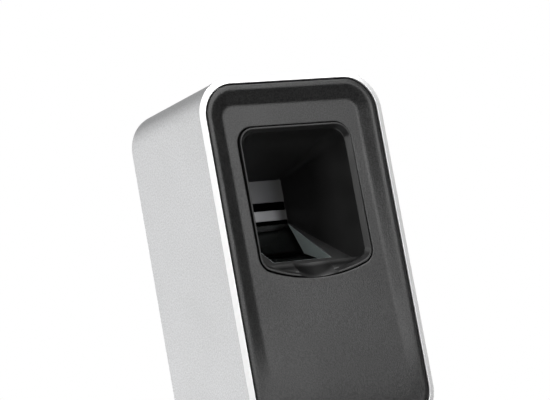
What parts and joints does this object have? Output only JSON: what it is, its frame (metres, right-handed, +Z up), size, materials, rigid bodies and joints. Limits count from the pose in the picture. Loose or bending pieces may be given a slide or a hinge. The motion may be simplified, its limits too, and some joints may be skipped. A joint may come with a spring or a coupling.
{
  "type": "fingerprint scanner terminal",
  "caption": "Slim wall-mounted fingerprint reader: rounded aluminium housing, black front with a recessed finger window over a sloping glass platen, on a hook-on bracket.",
  "frame": {"origin": "centre of the wall bracket's back face, at mid-height of the housing", "axes": "+X to the right seen from the front, +Y into the wall, +Z up; the front faces -Y"},
  "size_m": [0.05, 0.0363, 0.086],
  "materials": {
    "housing_shell": "bead-blasted, clear anodised, bright cut front edge",
    "front_bezel": "fine spark-eroded texture",
    "bezel_gasket": "plain",
    "sensor_hood": "semi-gloss moulded",
    "hood_screws": "zinc plated",
    "optical_prism": "polished, sides ground",
    "optics_frame": "plain moulded",
    "optics_screws": "zinc plated",
    "lens_barrel": "plain moulded",
    "objective_lens": "coated",
    "camera_board": "solder mask",
    "image_sensor": "chip package",
    "camera_board_screws": "zinc plated",
    "camera_connector": "moulded",
    "camera_flex_cable": "polyimide film",
    "led_board": "solder mask",
    "illumination_leds": "clear encapsulant",
    "led_header": "moulded",
    "main_board": "solder mask",
    "board_screws": "zinc plated",
    "processor_chip": "moulded epoxy",
    "memory_chip": "moulded epoxy",
    "power_capacitors": "sleeved can",
    "buzzer": "moulded",
    "flex_socket": "moulded",
    "wiring_terminal": "moulded",
    "rear_cover": "fine texture",
    "rear_cover_screws": "zinc plated",
    "rear_seal": "plain",
    "cable_grommet": "plain",
    "tamper_switch_body": "moulded",
    "tamper_spring": "spring wire",
    "tamper_plunger": "moulded acetal",
    "wall_bracket": "zinc plated sheet",
    "lock_screw": "stainless"
  },
  "bodies": {
    "bracket": {"wall_bracket": "wall_bracket"},
    "terminal": {"housing_shell": "housing_shell", "front_bezel": "front_bezel", "bezel_gasket": "bezel_gasket", "sensor_hood": "sensor_hood", "hood_screws": "hood_screws", "optical_prism": "optical_prism", "optics_frame": "optics_frame", "optics_screws": "optics_screws", "lens_barrel": "lens_barrel", "objective_lens": "objective_lens", "camera_board": "camera_board", "image_sensor": "image_sensor", "camera_board_screws": "camera_board_screws", "camera_connector": "camera_connector", "camera_flex_cable": "camera_flex_cable", "led_board": "led_board", "illumination_leds": "illumination_leds", "led_header": "led_header", "main_board": "main_board", "board_screws": "board_screws", "processor_chip": "processor_chip", "memory_chip": "memory_chip", "power_capacitors": "power_capacitors", "buzzer": "buzzer", "flex_socket": "flex_socket", "wiring_terminal": "wiring_terminal", "rear_cover": "rear_cover", "rear_cover_screws": "rear_cover_screws", "rear_seal": "rear_seal", "cable_grommet": "cable_grommet", "tamper_switch_body": "tamper_switch_body", "tamper_spring": "tamper_spring"},
    "tamper_plunger": {"tamper_plunger": "tamper_plunger"},
    "lock_screw": {"lock_screw": "lock_screw"}
  },
  "joints": [
    {"name": "terminal_lift", "type": "slide", "parent": "bracket", "child": "terminal", "axis": [0, 0, 1], "range_m": [0, 0.004]},
    {"name": "tamper_plunger_press", "type": "slide", "parent": "terminal", "child": "tamper_plunger", "axis": [0, -1, 0], "range_m": [0, 0.0008], "stiffness_N_per_m": 300, "springref_m": -0.0005, "deforming": ["tamper_spring"]},
    {"name": "lock_screw_travel", "type": "slide", "parent": "terminal", "child": "lock_screw", "axis": [0, 0, -1], "range_m": [0, 0.006]}
  ]
}
